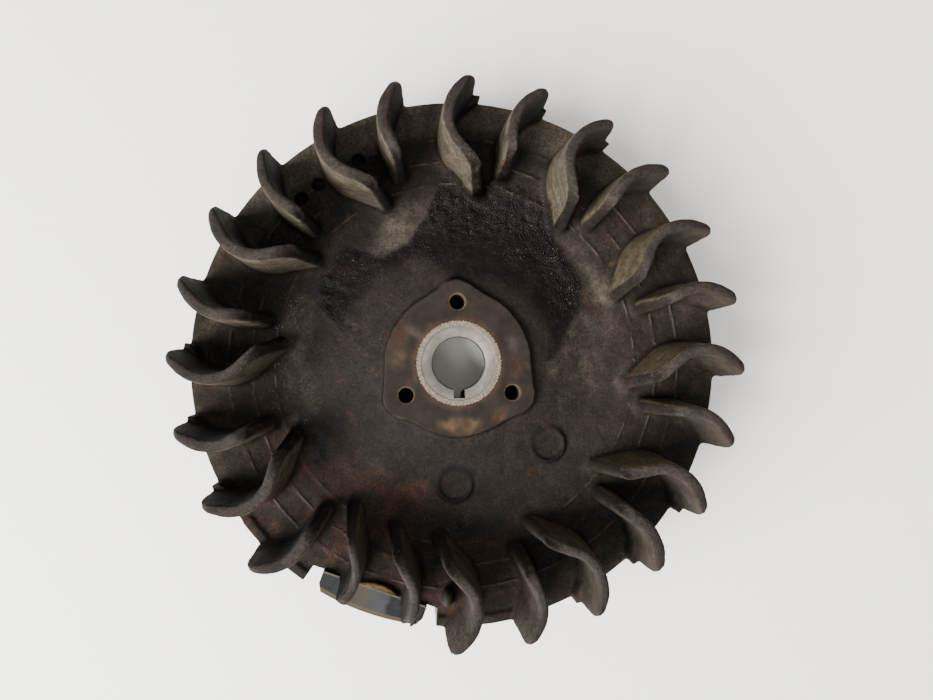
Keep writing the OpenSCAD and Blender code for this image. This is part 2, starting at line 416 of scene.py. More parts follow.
def on_stretch(angle, along, side):
    """A point past a bend's end, along a straight stretch and to one side of its middle."""
    return on_bend(angle, BEND_R + side) + at(along, angle + 90)


def half_round(centre, radius, start):
    return [centre + at(radius, start + 180 * k / NOSE_STEPS) for k in range(NOSE_STEPS + 1)]


def fin_outline(half_w, slope, foot_r, tip_r):
    """Outline of a fin at one height, in the fin's own frame, with a round nose at both ends."""
    outer = 90 - OUTER_SLOPE
    inner = 90 + slope
    tip_half = half_w * TIP_SHARE
    out_run = -(tip_r - tip_half - on_bend(outer, BEND_R)[0]) / math.sin(math.radians(outer))
    in_run = -(foot_r + half_w - on_bend(inner, BEND_R)[0]) / math.sin(math.radians(inner))
    sides = []
    for side in (half_w, -half_w):
        line = [on_stretch(outer, out_run * (1 - k / OUTER_RUN),
                           side * (TIP_SHARE + (1 - TIP_SHARE) * k / OUTER_RUN))
                for k in range(1, OUTER_RUN)]
        line += [on_bend(outer + (inner - outer) * k / BEND_STEPS, BEND_R + side)
                 for k in range(BEND_STEPS + 1)]
        line += [on_stretch(inner, in_run * k / INNER_RUN, side) for k in range(1, INNER_RUN)]
        sides.append(line)
    nose = half_round(on_stretch(inner, in_run, 0), half_w, inner)
    tip = half_round(on_stretch(outer, out_run, 0), tip_half, outer + 180)
    return np.array(sides[0] + nose + sides[1][::-1] + tip)


def make_fin(index, chance):
    """One fin: a filleted foot, sloping sides, a flat worn ridge and both ends rounded off."""
    is_long = index % 2 == 1 or index == EXTRA_LONG_FIN
    slope = LONG_SLOPE if is_long else SHORT_SLOPE
    slope += chance.uniform(-1.5, 1.5)
    foot_r = LONG_FOOT_R if is_long else SHORT_FOOT_R
    height = FIN_HEIGHT - chance.uniform(0.0, 0.6)
    ridge_half = FIN_TOP_W / 2 + chance.uniform(-0.1, 0.25)
    base_half = FIN_BASE_W / 2 - 0.1
    lean = 4.5 if is_long else 3.5
    fillet = 3.0
    edge = 1.1
    tip_r = NOTCH_FIN_TIPS.get(index, RIM_R)
    foot_reach = 5.0
    if index in NOTCH_FIN_TIPS:
        foot_reach = 1.5
        ridge_half -= 0.45
        base_half -= 0.6
    levels = [(-2.5, base_half + 2.6, -2.0)]
    for rise in (0.0, 0.35, 0.9, 1.8, 3.0):
        out = fillet - math.sqrt(fillet ** 2 - (fillet - rise) ** 2) if rise else fillet * 0.8
        levels.append((rise, base_half + out, -out))
    shoulder = height - edge
    for share in (0.25, 0.5, 0.75, 1.0):
        levels.append((fillet + (shoulder - fillet) * share,
                       base_half + (ridge_half - base_half) * share, lean * share))
    for turn in (25, 50, 75, 90):
        a = math.radians(turn)
        levels.append((shoulder + edge * math.sin(a), ridge_half - edge * (1 - math.cos(a)),
                       lean + edge * (1 - math.cos(a))))
    direction = FIRST_FIN + index * FIN_PITCH + chance.uniform(-0.2, 0.2)
    nose_run, nose_fall = (8.0, 9.0) if is_long else (7.0, 8.0)
    tip_run, tip_fall = 3.0, 3.0
    rings = []
    for rise, half_w, inward in levels:
        reach = foot_reach - (foot_reach - 0.5) * smooth_step(height - 9.0, height - 3.0, rise)
        outline = fin_outline(half_w, slope, foot_r + inward, tip_r + reach)
        from_nose = np.clip(1 - (outline[:, 0] - foot_r - inward) / nose_run, 0, 1)
        from_tip = np.clip(1 - (tip_r - outline[:, 0]) / tip_run, 0, 1)
        fall = (nose_fall * (1 - np.sqrt(1 - from_nose ** 2))
                + tip_fall * (1 - np.sqrt(1 - from_tip ** 2)))
        radius = np.hypot(outline[:, 0], outline[:, 1])
        ground = floor_z(radius)
        top = RIM_Z - ground
        lifted = rise * (1 + top / height * smooth_step(0.0, height, rise)) if rise > 0 else rise
        z = ground + lifted * (1 - (fall / height if rise > 0 else 0.0))
        place = np.array(turned(outline, direction))
        rings.append([(x, y, h) for (x, y), h in zip(place, np.broadcast_to(z, len(place)))])
    return loft(f"fin_{index}", rings, -1 - NOSE_STEPS // 2)


# ------------------------------------------------------------------ casting

def body_blank():
    """Disc, rim and hub as cast, with round corners; the machined faces have stock left on."""
    stock = 1.5
    skim = 0.3
    corners = [
        (0.0, HUB_BACK_Z - skim, 0),
        (26.0, HUB_BACK_Z - skim, 1.5),
        (27.0, WEB_BACK_Z - 4, 9),
        (44.0, WEB_BACK_Z, 14),
        (CUP_R - 2.2, WEB_BACK_Z, 5),
        (CUP_R, -skim, 0.8),
        (RIM_R + stock, -skim, 0),
        (RIM_R + stock, RIM_Z, 0),
        (RIM_R - 2.0, RIM_Z, 3),
        (FLOOR_INNER_R, FLOOR_INNER_Z, 10),
        (WEB_OUTER_R, WEB_FRONT_Z + 0.4, 9),
        (CROWN_FOOT_R, WEB_FRONT_Z, 20),
        (CROWN_TOP_R, WEB_FRONT_Z + WEB_CROWN, 6),
        (0.0, WEB_FRONT_Z + WEB_CROWN, 0),
    ]
    return lathe("body_blank", rounded(corners))


def pad_outline(grow=0.0, steps=180):
    """Three-lobed outline of the starter pad: a circle that swells towards each hole."""
    line = []
    for k in range(steps):
        angle = 360.0 * k / steps
        off = min(abs(angle_off(angle, bolt)) for bolt in BOLT_ANGLES)
        lobe = math.exp(-(off / PAD_LOBE_SPREAD) ** 2 * 1.15)
        line.append(at(PAD_ROUND_R + PAD_LOBE_RISE * lobe + grow, angle))
    return line


def pad_blank():
    """The pad with a sloping cast flank and a flared foot."""
    foot_z = WEB_FRONT_Z + WEB_CROWN
    levels = ((WEB_BACK_Z + 3, 2.2), (foot_z - 0.6, 2.2), (foot_z, 1.3), (foot_z + 0.7, 0.7),
              (PAD_Z - 1.0, 0.3), (PAD_Z - 0.3, 0.1), (PAD_Z + 0.3, -0.1))
    return loft("pad_blank", [[(x, y, z) for x, y in pad_outline(grow)] for z, grow in levels])


def arc_bar(name, start, end, low_r, high_r, low_z, high_z, steps=24):
    """A bar that follows the rim between two directions."""
    outline = [at(r, a)
               for r, turns in ((high_r, range(steps + 1)), (low_r, range(steps, -1, -1)))
               for a in (start + (end - start) * k / steps for k in turns)]
    return prism(name, outline, low_z, high_z)


def notch_details():
    """Raised rim bands beside the notch and the low lip behind the magnet unit."""
    overlap = 2
    start = NOTCH_ANGLE - NOTCH_SPAN / 2
    end = NOTCH_ANGLE + NOTCH_SPAN / 2
    spans = ((start - BAND_REACH[0], start + overlap), (end - overlap, end + BAND_REACH[1]))
    bands = [arc_bar("band", low, high, BAND_INNER_R, RIM_R + 1.5, RIM_Z - 3, RIM_Z + BAND_RISE)
             for low, high in spans]
    circle = [(LIP_PLACE[0] + x, LIP_PLACE[1] + y) for x, y in (at(LIP_R, 5 * k) for k in range(72))]
    return bands + [prism("lip", circle, RIM_Z - 5, RIM_Z + 2)]


def fin_flash(chance):
    """Small step that the mould's joint left at the outer end of some fins."""
    steps = []
    for index in FLASH_FINS:
        direction = FIRST_FIN + index * FIN_PITCH
        height = RIM_Z + 11.0 + chance.uniform(-1.2, 1.2)
        width = 5.2 + chance.uniform(-0.4, 0.8)
        outline = [(RIM_R + 1.5, 1.0), (RIM_R - 4.0, 3.5), (RIM_R - 7.0, 1.6),
                   (RIM_R - 2.4, 1.2 - width), (RIM_R + 1.5, 0.2 - width)]
        steps.append(prism(f"flash_{index}", turned(outline, direction), RIM_Z - 2, height))
    return steps


def cast_rings():
    """Plain raised rings on the web."""
    low = WEB_FRONT_Z - 2
    high = WEB_FRONT_Z + 1.9
    line = [(MARK_R - 0.7, low), (MARK_R + 0.7, low), (MARK_R + 0.4, high), (MARK_R - 0.4, high)]
    return [shifted(lathe("cast_ring", line, 48), mark) for mark in CAST_MARKS]


def side_lump():
    """Oval lump beside the fin next to the notch."""
    ball = bmesh.new()
    bmesh.ops.create_uvsphere(ball, u_segments=24, v_segments=16, radius=MM)
    mesh = bpy.data.meshes.new("lump")
    ball.to_mesh(mesh)
    ball.free()
    lump = add_object("lump", mesh)
    points = points_of(lump) * LUMP_HALF_SIZES
    points[:, 0] += LUMP_R
    points[:, :2] = turned(points[:, :2], LUMP_ANGLE)
    points[:, 2] += RIM_Z + 2.0
    set_points(lump, points)
    return lump


def remesh(piece, voxel):
    change = piece.modifiers.new("voxels", "REMESH")
    change.mode = "VOXEL"
    change.voxel_size = voxel * MM
    relax = piece.modifiers.new("relax", "SMOOTH")
    relax.factor = 0.5
    relax.iterations = 3
    apply_modifiers(piece)


# Radii of the raised lines on the floor between the fins
FLOOR_LINES = (99.2, 89.6, 80.0)

# Outer edge of the black grease on the web: direction and radius
GREASE_EDGE = ((-8, 36), (14, 52), (24, 62), (38, 68), (50, 70), (57, 82), (76, 88), (92, 84), (101, 68),
               (112, 57), (124, 58), (133, 71), (150, 75), (158, 66), (172, 38))


def grease_mask(points):
    """From 0 to 1, where the black grease lies: the top of the web, and between the fins there."""
    r, a = polar(points)
    wander = layered(points, 20.0, 5) * 3.0
    turn, edge = zip(*GREASE_EDGE)
    reach = np.interp(angle_off(a, 0.0), turn, edge) + wander
    inner = smooth_step(0.0, 8.0, r - 36.0 - 12.0 * smooth_step(92.0, 112.0, a) + wander)
    sector = (angle_off(a, 0.0) > turn[0]) & (angle_off(a, 0.0) < turn[-1])
    return sector * inner * (1.0 - smooth_step(reach - 2.5, reach + 1.5, r))


def roughen(piece):
    """Cast skin: waves, sand grain, pits, the floor's raised lines and lumps of dried grease."""
    points = points_of(piece)
    normals = normals_of(piece)
    r, _ = polar(points)
    up = np.clip(normals[:, 2], 0.0, 1.0)
    wave = layered(points, 16.0, 1) * 0.22
    grain = layered(points, 2.6, 2) * 0.10
    height = points[:, 2] - floor_z(r)
    low = 1.0 - smooth_step(3.0, 8.0, height)
    pits = -0.35 * smooth_step(0.45, 0.8, noise(points, 2.2, 3))
    pits *= smooth_step(0.0, 0.6, noise(points, 9.0, 4))
    pits *= 0.3 + 0.7 * low
    on_floor = smooth_step(0.75, 0.95, up) * (1 - smooth_step(RIM_Z + 1.5, RIM_Z + 3.0, points[:, 2]))
    lines = np.zeros(len(points))
    for k, line_r in enumerate(FLOOR_LINES):
        broken = smooth_step(-0.5, 0.2, noise(points * np.array([1, 1, 0]), 7.0, 30 + k))
        lines += np.exp(-((r - line_r) / 0.7) ** 2) * broken * 0.4
    grease = grease_mask(points) * up * low
    crust = grease * smooth_step(50.0, 64.0, r)
    wrinkle = 0.35 - np.abs(noise(points, 7.0, 12) + 0.4 * noise(points, 3.0, 13))
    lumps = 0.15 * grease + crust * (0.18 * layered(points, 3.2, 8) + 0.2 * noise(points, 1.6, 9)
                                     + 0.9 * np.clip(wrinkle, 0.0, 0.35))
    rise = wave + grain + pits + lines * on_floor + lumps
    set_points(piece, points + normals * rise[:, None])


def face_off(piece):
    """Faces the pad, the hub's back and the rim's back flat."""
    points = points_of(piece)
    r, _ = polar(points)
    z = points[:, 2]
    z = np.where(r < 45.0, np.minimum(z, PAD_Z), z)
    z = np.where(r < 30.0, np.maximum(z, HUB_BACK_Z), z)
    points[:, 2] = np.clip(z, 0.0, TOP_Z)
    set_points(piece, points)


def cut(piece, tool):
    """Machines the tool's shape away, leaving crisp edges."""
    change = piece.modifiers.new("cut", "BOOLEAN")
    change.operation = "DIFFERENCE"
    change.solver = "MANIFOLD"
    change.object = tool
    apply_modifiers(piece)
    drop(tool)


HOLE_STEPS = 40                    # facets round a small hole


def ring_tool():
    """Everything outside the turned rim, with its chamfer behind and the fins' worn tips."""
    tip_r = 1.0
    corners = [
        (RIM_R - 1.2, -20.0, 0),
        (RIM_R - 1.2, 0.0, 0),
        (RIM_R, 1.2, 0),
        (RIM_R, TOP_Z + 0.2, tip_r),
        (RIM_R - 12.0, TOP_Z + 0.25, 0),
        (RIM_R - 12.0, TOP_Z + 20.0, 0),
        (RIM_R + 30.0, TOP_Z + 20.0, 0),
        (RIM_R + 30.0, -20.0, 0),
    ]
    return lathe("ring_tool", rounded(corners, 8), 360)


def notch_tool():
    half = math.tan(math.radians(NOTCH_SPAN / 2))
    outline = [(NOTCH_FLOOR_R, -NOTCH_FLOOR_R * half), (130.0, -130.0 * half),
               (130.0, 130.0 * half), (NOTCH_FLOOR_R, NOTCH_FLOOR_R * half)]
    return prism("notch_tool", turned(outline, NOTCH_ANGLE), -20.0, TOP_Z + 20.0)


def bore_tool():
    """The crankshaft hole: a chamfer, the straight land, then the taper, open at both ends."""
    back_r = BORE_R + (PAD_Z - BORE_LAND - HUB_BACK_Z) * BORE_TAPER / 2
    chamfer = 0.35
    seat_z = PAD_Z - SEAT_DEPTH
    line = [
        (0, HUB_BACK_Z - 6), (back_r + 0.6, HUB_BACK_Z - 6), (back_r + 0.6, HUB_BACK_Z),
        (back_r, HUB_BACK_Z + 0.6), (BORE_R, PAD_Z - BORE_LAND), (BORE_R, seat_z - chamfer),
        (BORE_R + chamfer, seat_z), (BORE_R + chamfer, PAD_Z + 9), (0, PAD_Z + 9),
    ]
    return lathe("bore_tool", line, 128)


def key_tool():
    slope = BORE_TAPER / 2
    length = PAD_Z - HUB_BACK_Z
    half = KEY_W / 2
    low = [(-half, -KEY_FLOOR_R - slope * (length + 6)), (half, -KEY_FLOOR_R - slope * (length + 6)),
           (half, 0), (-half, 0)]
    high = [(-half, -KEY_FLOOR_R + slope * 6), (half, -KEY_FLOOR_R + slope * 6), (half, 0), (-half, 0)]
    return loft("key_tool", [[(x, y, HUB_BACK_Z - 6) for x, y in low],
                             [(x, y, PAD_Z + 6) for x, y in high]])


def seat_tool():
    """Shallow ring round the hole; its edge has the fine teeth that a serrated washer left."""
    teeth = 76
    chance = np.random.default_rng(11)
    outline = []
    for k in range(teeth * 2):
        r = SEAT_R + (chance.uniform(0.0, 0.35) if k % 2 else chance.uniform(-0.35, -0.1))
        angle = math.pi * (k + chance.uniform(-0.25, 0.25)) / teeth
        outline.append((r * math.cos(angle), r * math.sin(angle)))
    return prism("seat_tool", outline, PAD_Z - SEAT_DEPTH, PAD_Z + 6)


def tapped_hole_tool(angle):
    """M8 thread as close rings, with a small countersink at the mouth and a drill point."""
    pitch = 1.25
    deep = 0.55
    line = [(0, PAD_Z + 6), (BOLT_HOLE_R + deep + 0.25, PAD_Z + 6), (BOLT_HOLE_R + deep + 0.25, PAD_Z)]
    z = PAD_Z - 0.5
    line.append((BOLT_HOLE_R, z))
    while z > PAD_Z - BOLT_DEPTH + 2 * pitch:
        line += [(BOLT_HOLE_R + deep, z - pitch / 2), (BOLT_HOLE_R, z - pitch)]
        z -= pitch
    line += [(BOLT_HOLE_R, PAD_Z - BOLT_DEPTH), (0, PAD_Z - BOLT_DEPTH - 2.0)]
    return shifted(lathe("tapped_hole", line, HOLE_STEPS), at(BOLT_CIRCLE_R, angle))


def balance_tool(angle):
    bottom = RIM_Z - BALANCE_DEPTH
    line = [(0, bottom - 1.8), (BALANCE_HOLE_R, bottom), (BALANCE_HOLE_R, RIM_Z + 20), (0, RIM_Z + 20)]
    return shifted(lathe("balance_hole", line, HOLE_STEPS), at(BALANCE_R, angle))


def screw_bore_tool(across):
    """Hole in from the notch's floor for one of the magnet unit's retaining screws."""
    inner_r = SCREW_END_R - 1.0
    outer_r = NOTCH_FLOOR_R + 3.0
    line = [(0, inner_r), (SCREW_BORE_R, inner_r), (SCREW_BORE_R, outer_r), (0, outer_r)]
    tool = lathe("screw_bore", line, HOLE_STEPS)
    sideways, upwards, outwards = points_of(tool).T
    place = turned(zip(outwards, sideways + across), NOTCH_ANGLE)
    set_points(tool, np.array([(x, y, z) for (x, y), z in zip(place, upwards + SCREW_Z)]))
    return tool


VOXEL = 0.75


def make_casting():
    chance = np.random.default_rng(7)
    blanks = [body_blank(), pad_blank(), side_lump()]
    blanks += notch_details() + fin_flash(chance) + cast_rings()
    blanks += [make_fin(index, chance) for index in range(FIN_COUNT)]
    casting = join("casting", blanks)
    remesh(casting, VOXEL)
    roughen(casting)
    face_off(casting)
    tools = [ring_tool(), notch_tool(), bore_tool(), key_tool(), seat_tool()]
    tools += [tapped_hole_tool(angle) for angle in BOLT_ANGLES]
    tools += [balance_tool(angle) for angle in BALANCE_ANGLES]
    tools += [screw_bore_tool(across) for across in SCREW_ACROSS]
    for tool in tools:
        cut(casting, tool)
    return casting


casting = make_casting()

# ------------------------------------------------------------------ colour of the casting

def linear(red, green, blue):
    """Linear colour from 0 to 255 display values."""
    return np.array([(c / 255) ** 2.2 for c in (red, green, blue)])


# Near-black for soot, also used as painted shade.
SOOT_AND_SHADE = linear(20, 18, 16)
GREASE = linear(35, 29, 28)
WEB = linear(50, 44, 40)
BROWN = linear(60, 52, 45)
DUSK = linear(54, 47, 43)
MAUVE = linear(67, 61, 57)
TAN = linear(112, 106, 92)
OLIVE = linear(98, 90, 72)
RUST = linear(76, 51, 41)
ORANGE = linear(106, 76, 56)
OCHRE = linear(122, 98, 72)
BLUISH = linear(42, 38, 44)
PALE = linear(122, 114, 101)
DUST = linear(84, 77, 68)
ALBEDO_SHARE = 0.335

# Patches of dirt and rust: direction, radius, half-length round the axis, half-width, colour, strength
PATCHES = (
    (176, 26.5, 4.5, 4.0, OCHRE, 0.60),
    (144, 23.4, 2.5, 5.0, PALE, 0.35),
    (156, 27.6, 6.0, 4.0, ORANGE, 0.45),
    (269.0, 27.4, 9.5, 3.4, OCHRE, 0.95),
    (306, 29.0, 5.0, 2.5, ORANGE, 0.65),
    (356, 25.0, 6.0, 3.5, ORANGE, 0.45),
    (20, 25.0, 5.0, 3.0, PALE, 0.20),
    (106, 42.0, 6.0, 5.0, BROWN, 0.80),
    (354, 43.0, 6.0, 4.0, OLIVE, 0.55),
    (111, 65.0, 13.0, 7.0, PALE, 0.65),
    (122, 61.0, 8.0, 6.0, PALE, 0.40),
    (104, 72.0, 8.0, 6.0, DUST, 0.70),
    (140, 77.0, 9.0, 5.0, DUST, 0.70),
    (167, 74.0, 15.0, 8.0, linear(94, 89, 78), 0.75),
    (188, 70.0, 11.0, 7.0, linear(88, 83, 73), 0.60),
    (172, 56.0, 12.0, 9.0, BROWN, 0.55),
    (197, 57.0, 12.0, 8.0, DUSK, 0.50),
    (225, 68.0, 12.0, 9.0, RUST, 0.75),
    (233, 62.0, 10.0, 6.0, ORANGE, 0.45),
    (246, 66.0, 13.0, 8.0, RUST, 0.75),
    (252, 60.0, 8.0, 4.0, ORANGE, 0.45),
    (234, 86.0, 8.0, 10.0, RUST, 0.55),
    (250, 88.0, 7.0, 8.0, RUST, 0.60),
    (215, 88.0, 7.0, 8.0, RUST, 0.50),
    (272, 72.0, 16.0, 8.0, BLUISH, 0.80),
    (276, 97.0, 6.0, 6.0, ORANGE, 0.50),
    (281, 84.0, 5.0, 7.0, RUST, 0.50),
    (293, 84.0, 6.0, 8.0, BROWN, 0.60),
    (4, 58.0, 20.0, 14.0, DUST, 0.65),
    (33, 73.0, 20.0, 7.0, DUST, 0.85),
    (25, 71.0, 7.0, 6.0, PALE, 0.25),
    (14, 70.0, 9.0, 7.0, DUST, 0.70),
    (352, 76.0, 9.0, 7.0, DUST, 0.50),
    (330, 80.0, 8.0, 6.0, SOOT_AND_SHADE, 0.60),
    (305, 74.0, 9.0, 8.0, BROWN, 0.40),
)


def near(angle, centre, full, fade):
    """1 within some degrees of a direction, falling to 0 a little further out."""
    return 1.0 - smooth_step(full, full + fade, np.abs(angle_off(angle, centre)))


def paint(piece):
    """Stores the casting's colour, shine and dust at each vertex."""
    points = points_of(piece)
    normals = normals_of(piece)
    r, a = polar(points)
    turn = np.radians(a)
    ahead = normals[:, 1] * np.cos(turn) - normals[:, 0] * np.sin(turn)
    outward = normals[:, 0] * np.cos(turn) + normals[:, 1] * np.sin(turn)
    up = normals[:, 2]
    height = points[:, 2] - floor_z(r)
    patchy = layered(points, 9.0, 40)
    fine = layered(points, 3.0, 41)
    streaks = layered(np.stack([points[:, 2], r * 0.12, turn * 4.0], axis=1), 2.6, 42, 2)
    front = (points[:, 2] > WEB_BACK_Z + 4).astype(float)

    tone = np.tile(BROWN, (len(points), 1))

    def blend(colour, share):
        share = np.clip(share, 0.0, 1.0)[:, None]
        tone[:] = tone * (1 - share) + colour * share

    blend(DUSK, smooth_step(-0.2, 0.8, patchy))
    inside = 1 - smooth_step(70.0, 78.0, r + 3 * patchy)
    blend(WEB, inside * 0.85)
    on_pad = (r < PAD_REACH) * (points[:, 2] > PAD_Z - 0.15)
    blend(linear(57, 50, 43), 0.9 * on_pad)
    rusty_side = near(a, 240, 30, 25)
    blend(RUST, 0.3 * rusty_side * smooth_step(0.0, 0.7, fine + patchy * 0.5) * (r > 60))
    for centre, radius, length, width, colour, strength in PATCHES:
        along = np.radians(angle_off(a, centre)) * r / length
        across = (r - radius) / width
        spread = np.hypot(along, across) + 0.4 * patchy + 0.3 * fine
        mottle = 0.35 + 0.65 * smooth_step(-0.5, 0.5, fine)
        blend(colour, strength * mottle * (1 - smooth_step(0.4, 1.4, spread)) * (height < 8))
    grease = grease_mask(points)
    blend(GREASE, 0.95 * grease * (1 - smooth_step(4.0, 9.0, height)))
    crumbs = near(a, 206, 7, 5) * (1 - smooth_step(4.0, 9.0, np.abs(r - 72 - 3 * patchy)))
    blend(SOOT_AND_SHADE, 0.9 * crumbs * smooth_step(-0.4, 0.2, fine))
    # Dark outline round each raised ring on the web: painted shade at the ring's sides.
    for mark in CAST_MARKS:
        off = away(points, mark) - MARK_R
        blend(SOOT_AND_SHADE, 0.7 * (1 - smooth_step(0.4, 2.2, np.abs(off))) * (r < 70))

    on_fin = smooth_step(2.0, 6.0, height)
    ahead_face = on_fin * smooth_step(0.25, 0.6, ahead)
    behind_face = on_fin * smooth_step(0.25, 0.6, -ahead)
    tip = smooth_step(98.0, 111.0, r) * smooth_step(6.0, 20.0, height)
    dusty_side = near(a, 130, 62, 40)
    # Ahead faces of the fins: painted light, brightest on the lower-left and right-hand fins.
    lit = 0.62 + 0.6 * near(a, 213, 16, 12) + 0.5 * near(a, 5, 50, 25)
    blend(OLIVE * lit[:, None], ahead_face)
    blend(TAN, ahead_face * dusty_side * smooth_step(-1.2, 0.2, patchy + 0.4 * fine))
    blend(OLIVE, 0.7 * ahead_face * smooth_step(0.25, 0.8, streaks))
    blend(ORANGE, 0.6 * ahead_face * smooth_step(0.55, 1.0, streaks + 0.5 * patchy))
    # Behind faces of the left-hand fins, turned away from the lamp, go near black: partly soot, partly
    # painted shade.
    soot_and_shade_side = near(a, 160, 65, 50)
    blend(linear(66, 60, 53), behind_face)
    # Behind faces near the tips of the right-hand fins are lighter: painted light.
    painted_light_tip = smooth_step(90.0, 102.0, r) * smooth_step(4.0, 14.0, height) * near(a, 5, 55, 25)
    blend(linear(79, 73, 65), 0.8 * behind_face * painted_light_tip)
    blend(SOOT_AND_SHADE, behind_face * soot_and_shade_side * (1 - 0.85 * tip * (1 - near(a, 212, 26, 20))))
    ridge = smooth_step(0.35, 0.7, up) * smooth_step(12.0, 18.0, height)
    blend(MAUVE, ridge)
    blend(PALE, 0.15 * ridge * smooth_step(0.7, 1.4, patchy + fine))
    blend(DUSK, ridge * (1 - smooth_step(78.0, 88.0, r)))
    blend(DUSK, 0.7 * ridge * smooth_step(98.0, 108.0, r))
    nose = on_fin * smooth_step(0.5, 0.85, -outward) * (1 - smooth_step(0.2, 0.6, ahead))
    blend(linear(46, 41, 38), 0.7 * nose * (1 - ridge) * (r < 95))
    low_soot = on_fin * grease * (1 - smooth_step(4.0, 9.0, height + 2 * fine))
    blend(SOOT_AND_SHADE, 0.9 * low_soot)
    blend(SOOT_AND_SHADE, 0.8 * on_fin * grease * (1 - smooth_step(6.0, 16.0, height)) * (1 - ahead_face))

    on_floor = (1 - on_fin) * smooth_step(76.0, 80.0, r) * front
    blend(linear(50, 44, 38), 0.7 * on_floor)
    blend(RUST, 0.5 * on_floor * rusty_side * smooth_step(-0.5, 0.6, patchy + fine))
    rim_dust_and_light = on_floor * smooth_step(98.0, 106.0, r)
    blend(OLIVE, 0.35 * rim_dust_and_light * smooth_step(-0.3, 0.8, patchy))
    # Lighter floor by the rim at the top of the wheel: partly dust, partly painted light where the fins shade
    # it.
    blend(linear(104, 97, 83), 0.9 * rim_dust_and_light * near(a, 95, 32, 25))

    halo = (1 - smooth_step(0.3, 3.0, r - SEAT_R + 0.8 * fine)) * on_pad
    blend(linear(92, 72, 54), 0.6 * halo)
    for angle in BOLT_ANGLES:
        off = away(points, at(BOLT_CIRCLE_R, angle))
        blend(OCHRE, 0.8 * (off < BOLT_HOLE_R + 0.6) * (r < PAD_REACH) * front)
    on_lip = (away(points, LIP_PLACE) < LIP_R + 0.2) * (points[:, 2] > RIM_Z)
    blend(linear(124, 104, 80), 0.9 * on_lip * (height < 6) * smooth_step(-1.2, 0.0, patchy + fine))
    blend(linear(60, 53, 48), (1 - front) * 0.7)
    blend(RUST, (1 - front) * 0.7 * smooth_step(0.3, 1.2, patchy + 0.6 * fine))

    shine = 0.25 + 0.55 * grease + 0.35 * crumbs + 0.15 * inside
    shine *= 1 - 0.8 * ahead_face * dusty_side
    specks = near(a, 180, 22, 12) * (1 - smooth_step(5.0, 16.0, np.abs(r - 76.0)))
    specks = np.maximum(specks, 0.6 * near(a, 262, 14, 8) * (1 - smooth_step(5.0, 12.0, np.abs(r - 74.0))))
    tone *= ALBEDO_SHARE
    level = on_floor * (1 - smooth_step(1.5, 2.5, height)) * smooth_step(0.7, 0.9, up)
    rough_skin = 1.0 - 0.8 * on_pad
    masks = {"shine": shine, "specks": specks, "grease": grease, "floor": level, "skin": rough_skin}
    for name, values in masks.items():
        layer = piece.data.attributes.new(name, "FLOAT", "POINT")
        layer.data.foreach_set("value", np.clip(values, 0, 1).astype(np.float32))
    layer = piece.data.attributes.new("tone", "FLOAT_COLOR", "POINT")
    layer.data.foreach_set("color", np.hstack([tone, np.ones((len(tone), 1))]).astype(np.float32).ravel())


# ------------------------------------------------------------------ materials

class Graph:
    """Short ways to build a material's shader nodes; grain sizes are in millimetres."""

    def __init__(self, name):
        self.material = bpy.data.materials.new(name)
        self.material.use_nodes = True
        self.tree = self.material.node_tree
        self.shader = self.tree.nodes["Principled BSDF"]
        self.place = self.add("ShaderNodeTexCoord").outputs["Object"]

    def add(self, kind, inputs=None, **settings):
        node = self.tree.nodes.new(kind)
        for key, value in settings.items():
            setattr(node, key, value)
        for key, value in (inputs or {}).items():
            self.feed(node.inputs[key], value)
        return node

    def feed(self, socket, value):
        if isinstance(value, bpy.types.NodeSocket):
            self.tree.links.new(value, socket)
        elif np.size(value) == 3 and socket.type == "RGBA":
            socket.default_value = (*value, 1.0)
        else:
            socket.default_value = value

    def noise(self, grain, detail=4.0, rough=0.55, place=None):
        return self.add("ShaderNodeTexNoise", {
            "Vector": place or self.place, "Scale": 1000.0 / grain, "Detail": detail, "Roughness": rough,
        }).outputs["Fac"]

    def cells(self, grain, place=None):
        return self.add("ShaderNodeTexVoronoi", {
            "Vector": place or self.place, "Scale": 1000.0 / grain,
        }).outputs["Distance"]

    def math(self, operation, a, b=0.0):
        node = self.add("ShaderNodeMath", operation=operation)
        self.feed(node.inputs[0], a)
        self.feed(node.inputs[1], b)
        return node.outputs[0]

    def times(self, a, b):
        return self.math("MULTIPLY", a, b)

    def step(self, value, low, high, start=0.0, end=1.0):
        return self.add("ShaderNodeMapRange", {
            "Value": value, "From Min": low, "From Max": high, "To Min": start, "To Max": end,
        }, interpolation_type="SMOOTHSTEP").outputs[0]

    def mix(self, share, a, b, blend="MIX"):
        node = self.add("ShaderNodeMix", data_type="RGBA", blend_type=blend)
        self.feed(node.inputs[0], share)
        self.feed(node.inputs[6], a)
        self.feed(node.inputs[7], b)
        return node.outputs[2]

    def read(self, name, output="Fac"):
        return self.add("ShaderNodeAttribute", attribute_name=name).outputs[output]

    def bump(self, height, depth, strength=1.0, under=None):
        inputs = {"Height": height, "Distance": depth * MM, "Strength": strength}
        if under is not None:
            inputs["Normal"] = under
        return self.add("ShaderNodeBump", inputs).outputs[0]

    def radius(self):
        """Distance from the crankshaft axis, in metres."""
        flat = self.add("ShaderNodeVectorMath", {0: self.place, 1: (1.0, 1.0, 0.0)}, operation="MULTIPLY")
        return self.add("ShaderNodeVectorMath", {0: flat.outputs[0]}, operation="LENGTH").outputs["Value"]

    def part(self, axis):
        return self.add("ShaderNodeSeparateXYZ", {0: self.place}).outputs[axis]

    def finish(self, colour, rough, metal=0.0, normal=None, gloss=None):
        self.feed(self.shader.inputs["Base Color"], colour)
        self.feed(self.shader.inputs["Roughness"], rough)
        self.feed(self.shader.inputs["Metallic"], metal)
        if normal is not None:
            self.feed(self.shader.inputs["Normal"], normal)
        if gloss is not None:
            self.feed(self.shader.inputs["Specular IOR Level"], gloss)
        return self.material


